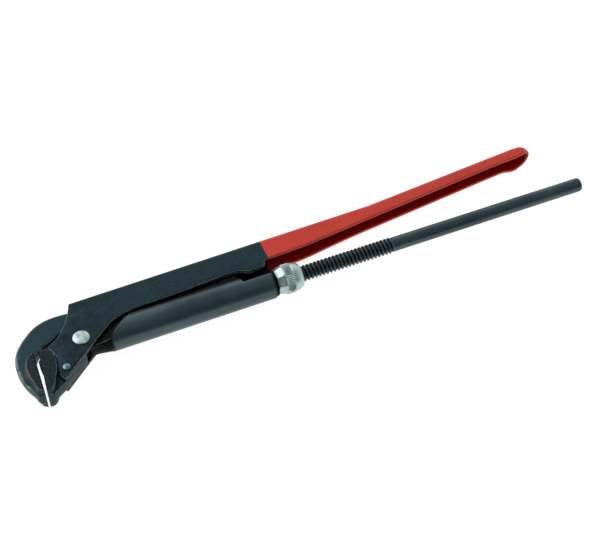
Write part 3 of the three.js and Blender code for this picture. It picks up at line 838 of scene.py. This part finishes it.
def bar_surface(s):
    """The round bar: radius as a function of station and angle, plain steel radius outside the thread, and
    inside it a trapezium wave of station over pitch less angle over a turn, fading out at both ends. Its wear
    is
    -1 in the thread's roots, to paint shade there."""
    start, end = 84.3, HOOK_HIGH[0] - 1.8
    thread_from, thread_to = 126.0, 225.0
    plain_one = np.linspace(start + 1, thread_from, 20, endpoint=False)
    thread = np.linspace(thread_from, thread_to, round((thread_to - thread_from) / s.thread_pitch * 14))
    plain_two = np.linspace(thread_to, end - 1.8, 40)[1:]
    chamfer = np.array([end - 1.5, end - 1.1, end - 0.7, end - 0.35, end - 0.1, end])
    x = np.concatenate([[start, start], plain_one, thread, plain_two, chamfer, [end]])
    a = np.linspace(0, 1, 72, endpoint=False)[None, :]
    phase = (x[:, None] / s.thread_pitch - a) % 1
    wave = np.clip((1 - np.abs(2 * phase - 1) - 0.2) / 0.55, 0, 1)
    cut = s.thread_root + (s.thread_crest - s.thread_root) * wave
    inside = ease(x, thread_from, thread_from + 3) * (1 - ease(x, thread_to - 2.8, thread_to))
    over = end - x
    shrink = np.where(over < 1.6, 1.5 * (1 - np.sqrt(np.clip(1 - ((1.6 - over) / 1.6) ** 2, 0, 1))), 0)
    plain = (s.bar_radius - shrink)[:, None]
    radius = plain + (cut - plain) * inside[:, None]
    # Painted shade in the thread's roots: the wear falls to -1 where the wave is lowest.
    painted_shade = -(1 - wave) * inside[:, None]
    radius[0] = 0
    radius[1] = s.bar_radius - 0.8
    radius[-1] = 0
    return turned(radius, x, painted_shade)


def sleeve_curve(s):
    """Half section of the sleeve as a table (length, z, y, outward z, outward y): a flange stands upright
    beside the slit and turns into a circle about the bar's axis."""
    # The rear end's outside radius lies between 10 mm and the half width that the flared front end reaches.
    mean = (SLEEVE_HIGH[2] + 10.0) / 2 - s.sleeve_sheet / 2
    flange_z = s.plate_half + 0.1 - s.sleeve_sheet / 2
    a = np.radians(np.linspace(25, 180, 80))
    round_part = np.stack([mean * np.sin(a), mean * np.cos(a)], 1)
    upright = np.array([(flange_z, SLEEVE_HIGH[1] - BAR_Y), (flange_z, mean * math.cos(a[0]) + 0.5)])
    line = softened(even(path(upright, round_part), 240), 7)
    along = np.gradient(line, axis=0)
    normal = np.stack([-along[:, 1], along[:, 0]], 1)
    normal /= np.linalg.norm(normal, axis=1, keepdims=True)
    length = np.concatenate([[0], np.cumsum(np.linalg.norm(np.diff(line, axis=0), axis=1))])
    return np.column_stack([length, line, normal])


def closing(rows, columns):
    """How far a skin has closed towards its borders, 1 at a border and 0 inside: a quarter circle over the
    first four rows, as a column, and over the first three columns, as a row."""
    shut = 1 - np.sin(np.linspace(0, np.pi / 2, 4))
    ends = np.concatenate([shut, np.zeros(rows - 8), shut[::-1]])[:, None]
    rim = np.concatenate([shut[:3], np.zeros(columns - 6), shut[2::-1]])[None, :]
    return ends, rim


def sleeve_surface(s):
    """The rolled sleeve: its section carried from a slanted front cut to the square rear end. Behind the
    closing lug the section starts lower down, which opens the top over the nut's neck. Its wear is negative
    on the folded flanges, which paints shade on them, and on the cut ends, which darkens them."""
    table = sleeve_curve(s)
    total = table[-1, 0]
    rear = SLEEVE_HIGH[0]
    columns = np.linspace(-1, 1, 121)
    rows = np.linspace(0, 1, 230)
    uncut = np.interp((1 - np.abs(columns)) * total, table[:, 0], table[:, 2]) + BAR_Y
    # The front cut slants back towards the slit, and a little back again under the tube.
    front = np.maximum(27 + 1.3 * uncut, 17.4 + 0.25 * np.maximum(-8 - uncut, 0))
    x = front[None, :] + (rear - front[None, :]) * rows[:, None]
    # Behind the lug the skin starts 0.8 mm above the pivot's level.
    opening = ease(x, 112.0, 114.0) * np.interp(0.8 - BAR_Y, table[::-1, 2], table[::-1, 0])
    along = opening + (1 - np.abs(columns))[None, :] * (total - opening)
    side = np.where(columns < 0, 1.0, -1.0)[None, :]
    z, y, out_z, out_y = (np.interp(along, table[:, 0], table[:, i]) for i in range(1, 5))
    flare = 1 + 0.035 * (rear - x) / (rear - 18)
    ends, rim = closing(len(rows), len(columns))
    # Painted shade: the folded flanges, which face up under the cheeks, get wear down to -1 and turn near
    # black; the cut ends get -0.9 and are darkened too.
    folded = 1 - ease(along, 0.375 * total, 0.405 * total)
    worn = -np.maximum(folded, (ends > 0) * 0.9) * np.ones_like(rim)
    offset = s.sleeve_sheet / 2 - 0.4 * np.maximum(ends, rim)
    faces = []
    for sign in (1, -1):
        fy = BAR_Y + y * flare + sign * offset * out_y
        fz = (z * flare + sign * offset * out_z) * side
        faces.append(np.stack([x, fy, fz], -1))
    return sheet(faces[0], faces[1], worn)


def neck_surface(s):
    """The narrow trough under the pivot: an arc about the bar's axis whose radius and span both shrink
    towards the pivot, joining the sleeve to its ears."""
    x = np.linspace(3.5, 23, 50)
    radius = np.interp(x, [3.5, 8, 18.5, 23], [8.4, 8.9, 10.25, 10.0])
    span = np.radians(np.interp(x, [3.5, 8, 19, 23], [25, 38, 47, 50]))
    columns = np.linspace(-1, 1, 41)
    angle = span[:, None] * columns[None, :]
    ends, rim = closing(len(x), len(columns))
    give = 0.35 * np.maximum(ends, rim)
    # The rim rounding is marked worn: rubbed steel, and a painted highlight along the neck's ridge.
    worn = np.broadcast_to((rim > 0) * (rim < 1) * 1.0, angle.shape)
    faces = []
    for r in (radius[:, None] - give, radius[:, None] - s.sleeve_sheet + give):
        y = BAR_Y - r * np.cos(angle)
        faces.append(np.stack([np.broadcast_to(x[:, None], y.shape), y, r * np.sin(angle)], -1))
    return sheet(faces[0], faces[1], worn)


def ear_surface(s):
    """One flat ear that carries the sleeve on the pivot rivet: a plate from a half circle back into the
    tube."""
    top = even(path(arc((0, 0), EAR_RADIUS, 180, 90, 20), [(18.7, EAR_RADIUS), (27, 1.3)]), 60)
    low = even(path(arc((0, 0), EAR_RADIUS, 180, 270, 20), [(14.7, -9.3), (27, -9.3)]), 60)
    wall = rounded_wall(s.plate_half + 0.05, s.plate_half + 0.05 - s.sleeve_sheet + 0.1, 0.35)
    return slab(top, low, wall, wall, across=4)


def lug_surface(s):
    """The lug that closes the slit in front of the nut: a rounded block over both flanges."""
    height = SLEEVE_HIGH[1] + 0.1
    corner = 1.6
    middle = height - corner
    front, rear = arc((97.6, middle), corner, 180, 90, 8), arc((110.8, middle), corner, 90, 0, 8)
    top = even(path([(96, 8.4)], front, rear), 50)
    low = even([(96, 8.2), (112.4, 8.2)], 50)
    wall = rounded_wall(s.plate_half + 0.2, -s.plate_half - 0.2, 0.6)
    return slab(top, low, wall, wall, across=4)


def nut_surface(s):
    """The adjusting nut: a turned outline whose front is planed into eight flats, with straight ribs round
    its band. Radius is the outline's, held down by the flats and cut by a triangle wave round the band."""
    front = WASHER_HIGH[0] + 0.3
    rear = NUT_HIGH[0]
    play = 0.1
    bore = s.thread_crest + play
    neck = BUSH_HIGH[2] - BUSH_WALL - play
    outline = np.array([
        (NUT_LOW[0], bore), (NUT_LOW[0], neck - 0.2), (NUT_LOW[0] + 0.2, neck), (front, neck), (front, 8.3),
        (front + 0.3, 8.6), (front + 4.2, NUT_RADIUS - 0.35), (front + 5.3, NUT_RADIUS - 0.15),
        (front + 5.6, NUT_RADIUS - 0.35), (front + 5.9, NUT_RADIUS), (front + 11.3, NUT_RADIUS),
        (front + 11.6, NUT_RADIUS - 0.35), (front + 11.9, NUT_RADIUS - 0.2),
        (front + 14.0, NUT_RADIUS - 0.55), (front + 15.8, NUT_RADIUS - 1.1), (front + 17.2, NUT_RADIUS - 1.9),
        (rear - 0.35, bore + 2.4), (rear, bore + 1.7), (rear - 0.1, bore + 0.3), (rear - 0.8, bore),
        (NUT_LOW[0], bore),
    ])
    spans = [even(outline[i : i + 2], 6)[:-1] for i in range(len(outline) - 1)]
    line = np.concatenate([*spans, outline[-1:]])
    x, base = line[:, 0], line[:, 1]
    ribs = int(round(2 * np.pi * NUT_RADIUS / s.knurl_pitch))
    share = np.linspace(0, 1, ribs * 8, endpoint=False)[None, :]
    outside = base > 8.0
    # The flats' distance from the axis grows from 8.15 mm at the front face until they run out at the band.
    flat = 8.15 + 1.75 * ease(x, front, front + 6.5)
    eighth = ((share * 8 + 0.5) % 1 - 0.5) * np.pi / 4
    planed = np.minimum(base[:, None], flat[:, None] / np.cos(eighth))
    facets = (outside & (x < front + 5.5))[:, None]
    radius = np.where(facets, planed, base[:, None])
    band = ease(x, front + 5.7, front + 6.4) * (1 - ease(x, front + 10.9, front + 11.5)) * outside
    rib = np.abs(2 * ((share * ribs) % 1) - 1)
    radius = radius - s.knurl_depth * band[:, None] * rib
    return turned(radius, x)


# ---- operators ----


def sizes():
    """The scene's sizes in millimetres, because the shapes are drawn in millimetres."""
    group = bpy.context.scene.wrench_sizes
    return SimpleNamespace(**{key: round(getattr(group, key) / METRE, 4) for key in group.__annotations__})


class WRENCH_OT_channel_handle(bpy.types.Operator):
    """Build the pressed channel handle: black cheeks and web, and the enamelled grip"""

    bl_idname = "wrench.channel_handle"
    bl_label = "Channel handle"

    def execute(self, context):
        s = sizes()
        cheeks = [cheek_surface(s, True), mirrored(cheek_surface(s, False))]
        make_piece("handle_cheeks", [*cheeks, web_surface(s)], finish("pressed"), "handle",
                   "black_phosphate", "channel_handle")
        make_piece("handle_grip", [grip_surface(s)], finish("enamel"), "handle",
                   "red_enamel", "channel_handle")
        return {"FINISHED"}


class WRENCH_OT_fixed_jaw(bpy.types.Operator):
    """Build the forged fixed jaw with its toothed segment"""

    bl_idname = "wrench.fixed_jaw"
    bl_label = "Fixed jaw"

    def execute(self, context):
        shank, segment = fixed_jaw_surfaces(sizes())
        make_piece("fixed_jaw_shank", [shank], finish("forged"), "handle", "black_phosphate", "fixed_jaw")
        make_piece("fixed_jaw_teeth", [segment], finish("ground"), "handle", "black_phosphate", "fixed_jaw")
        return {"FINISHED"}


class WRENCH_OT_rivets(bpy.types.Operator):
    """Build the bright pivot rivet and the small dark rivet of the fixed jaw"""

    bl_idname = "wrench.rivets"
    bl_label = "Rivets"

    def execute(self, context):
        radius = RIVET_HIGH[0]
        height = RIVET_HIGH[2] - CHEEK
        heads = [domed_head(radius, height, CHEEK, (0, 0), side) for side in (1, -1)]
        make_piece("pivot_rivet_heads", heads, finish("bright"), "handle", "bright_steel", "pivot_rivet")
        centre = (JAW_RIVET_LOW + JAW_RIVET_HIGH) / 2
        radius = (JAW_RIVET_HIGH[0] - JAW_RIVET_LOW[0]) / 2
        height = JAW_RIVET_HIGH[2] - CHEEK
        heads = [domed_head(radius, height, CHEEK, centre[:2], side) for side in (1, -1)]
        make_piece("jaw_rivet_heads", heads, finish("worn"), "handle", "black_phosphate", "jaw_rivet")
        return {"FINISHED"}


class WRENCH_OT_hook_jaw(bpy.types.Operator):
    """Build the hook with its toothed segment, and the blade and threaded bar of the same forging"""

    bl_idname = "wrench.hook_jaw"
    bl_label = "Hook jaw and bar"

    def execute(self, context):
        s = sizes()
        plate, segment = hook_surfaces(s)
        make_piece("hook_plate", [plate, blade_surface()], finish("forged"), "hook",
                   "black_phosphate", "hook_jaw")
        make_piece("hook_teeth", [segment], finish("ground"), "hook", "black_phosphate", "hook_jaw")
        make_piece("threaded_bar", [bar_surface(s)], finish("blued"), "hook", "blued_sheet", "hook_jaw")
        return {"FINISHED"}


class WRENCH_OT_sleeve(bpy.types.Operator):
    """Build the rolled sleeve with its lug, neck and ears"""

    bl_idname = "wrench.sleeve"
    bl_label = "Sleeve"

    def execute(self, context):
        s = sizes()
        make_piece("rolled_sleeve", [sleeve_surface(s)], finish("blued"), "sleeve", "blued_sheet", "sleeve")
        ear = ear_surface(s)
        folded = [neck_surface(s), lug_surface(s), ear, mirrored(ear)]
        # The neck, lug and ears take the near-black finish as painted shade.
        make_piece("sleeve_neck", folded, finish("black"), "sleeve", "oil_black", "sleeve")
        return {"FINISHED"}


class WRENCH_OT_nut_bearing(bpy.types.Operator):
    """Build the bush and washer in the sleeve's end and the ring that keeps the nut in it"""

    bl_idname = "wrench.nut_bearing"
    bl_label = "Nut bearing"

    def execute(self, context):
        # The near-black finish paints the shade in the sleeve's end on the bush and washer.
        rings = (
            ("bearing_bush", BUSH_LOW, BUSH_HIGH, BUSH_WALL, "sleeve", "sleeve_bush"),
            ("bearing_washer", WASHER_LOW, WASHER_HIGH, WASHER_HIGH[2] - 7.3, "sleeve", "thrust_washer"),
            ("snap_ring", RING_LOW, RING_HIGH, RING_HIGH[2] - 6.6, "nut", "retaining_ring"),
        )
        for name, low, high, wall, body, node in rings:
            outer = high[2]
            surface = ring(outer - wall, outer, low[0], high[0])
            make_piece(name, [surface], finish("black"), body, "oil_black", node)
        return {"FINISHED"}


class WRENCH_OT_adjusting_nut(bpy.types.Operator):
    """Build the zinc-plated adjusting nut with its flats and knurled band"""

    bl_idname = "wrench.adjusting_nut"
    bl_label = "Adjusting nut"

    def execute(self, context):
        make_piece("knurled_nut", [nut_surface(sizes())], finish("zinc"), "nut",
                   "zinc_plate", "adjusting_nut", crease=28)
        return {"FINISHED"}


class WRENCH_OT_stage(bpy.types.Operator):
    """Build the white floor, the soft lights and the camera"""

    bl_idname = "wrench.stage"
    bl_label = "Stage"

    def execute(self, context):
        scene = context.scene
        scene.view_settings.view_transform = "Standard"
        white_floor()
        soft_world(scene)
        centre = in_metres(PIVOT + [154.7, 0, 0])
        soft_box("upper_left_softbox", centre, (-0.55, 0.55, 0.75), 0.7, 5.0)
        soft_box("rear_softbox", centre, (0.35, 0.75, 0.6), 0.5, 0.6)
        place_camera(scene)
        return {"FINISHED"}


def in_metres(point):
    """A point in millimetres as a vector in metres."""
    return Vector((point * METRE).tolist())


def white_floor():
    """A plain white floor that is mostly lit from within, so that the shadow on it stays faint."""
    size = 6.0
    mesh = bpy.data.meshes.new("floor")
    corners = [(-size, -size, 0), (size, -size, 0), (size, size, 0), (-size, size, 0)]
    mesh.from_pydata(corners, [], [(0, 1, 2, 3)])
    floor = bpy.data.objects.new("floor", mesh)
    bpy.context.scene.collection.objects.link(floor)
    material, tree, _ = new_material("plain white floor")
    close_material(tree, {"Base Color": linear("#7a7a7a"), "Roughness": 0.9, "Specular IOR Level": 0.0,
                          "Emission Color": linear("#ffffff"), "Emission Strength": 0.95})
    mesh.materials.append(material)


def soft_world(scene):
    """A white surround, brightest near the far horizon, dimmer overhead and dark on the camera's side, so
    that walls and rims stay light and a dark band runs along each round piece. Brightness is one straight
    ramp over the height of the direction looked in, times another over its lean to the camera's side."""
    world = bpy.data.worlds.new("surround")
    world.use_nodes = True
    tree = world.node_tree
    tree.nodes.clear()
    parts = add(tree, "SeparateXYZ", {0: add(tree, "TexCoord").outputs["Generated"]})
    upward = add(tree, "MapRange", {0: parts.outputs["Z"], 1: 0.3, 2: 0.9, 3: 1.05, 4: 0.42}).outputs[0]
    lean = add(tree, "MapRange", {0: parts.outputs["Y"], 1: -0.85, 2: -0.2, 3: 0.12, 4: 1.0}).outputs[0]
    power = add(tree, "Math", {0: upward, 1: lean}, operation="MULTIPLY").outputs[0]
    glow = add(tree, "Background", {"Color": linear("#f2f8fa"), "Strength": power})
    add(tree, "OutputWorld", {"Surface": glow.outputs[0]})
    scene.world = world


def soft_box(name, centre, direction, size, power):
    """A square area light at a little over a metre from the centre, facing it."""
    data = bpy.data.lights.new(name, "AREA")
    data.size = size
    data.energy = power
    lamp = bpy.data.objects.new(name, data)
    bpy.context.scene.collection.objects.link(lamp)
    away = Vector(direction).normalized()
    lamp.location = centre + away * 1.1
    lamp.rotation_mode = "QUATERNION"
    lamp.rotation_quaternion = (-away).to_track_quat("-Z", "Y")


def place_camera(scene):
    """A level camera above the bar's side, aimed a little behind the nut."""
    azimuth, elevation, distance = math.radians(-23), math.radians(50), 0.9
    data = bpy.data.cameras.new("camera")
    data.lens = 78.37
    camera = bpy.data.objects.new("camera", data)
    scene.collection.objects.link(camera)
    aim = in_metres(PIVOT + [154.745, -4.876, 0])
    back = Vector((math.sin(azimuth) * math.cos(elevation), -math.cos(azimuth) * math.cos(elevation),
                   math.sin(elevation)))
    camera.location = aim + back * distance
    camera.rotation_mode = "QUATERNION"
    camera.rotation_quaternion = (-back).to_track_quat("-Z", "Y")
    scene.camera = camera


OPERATORS = (
    WRENCH_OT_channel_handle,
    WRENCH_OT_fixed_jaw,
    WRENCH_OT_rivets,
    WRENCH_OT_hook_jaw,
    WRENCH_OT_sleeve,
    WRENCH_OT_nut_bearing,
    WRENCH_OT_adjusting_nut,
    WRENCH_OT_stage,
)


class WRENCH_PT_pieces(bpy.types.Panel):
    """Lists the wrench's sizes, colours and pieces"""

    bl_idname = "WRENCH_PT_pieces"
    bl_label = "Pipe wrench"
    bl_space_type = "VIEW_3D"
    bl_region_type = "UI"
    bl_category = "Wrench"

    def draw(self, context):
        for group in (context.scene.wrench_sizes, context.scene.wrench_colours):
            box = self.layout.box()
            for key in group.__annotations__:
                box.prop(group, key)
        for operator in OPERATORS:
            self.layout.operator(operator.bl_idname)


CLASSES = (WrenchSizes, WrenchColours, *OPERATORS, WRENCH_PT_pieces)


def register():
    """Adds the classes, and the sizes and colours to the scene."""
    for cls in CLASSES:
        bpy.utils.register_class(cls)
    bpy.types.Scene.wrench_sizes = PointerProperty(type=WrenchSizes)
    bpy.types.Scene.wrench_colours = PointerProperty(type=WrenchColours)


def unregister():
    """Takes away what register adds."""
    del bpy.types.Scene.wrench_colours
    del bpy.types.Scene.wrench_sizes
    for cls in reversed(CLASSES):
        bpy.utils.unregister_class(cls)


def main():
    """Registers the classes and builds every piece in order."""
    register()
    for operator in OPERATORS:
        group, name = operator.bl_idname.split(".")
        getattr(getattr(bpy.ops, group), name)()


if __name__ == "__main__":
    main()
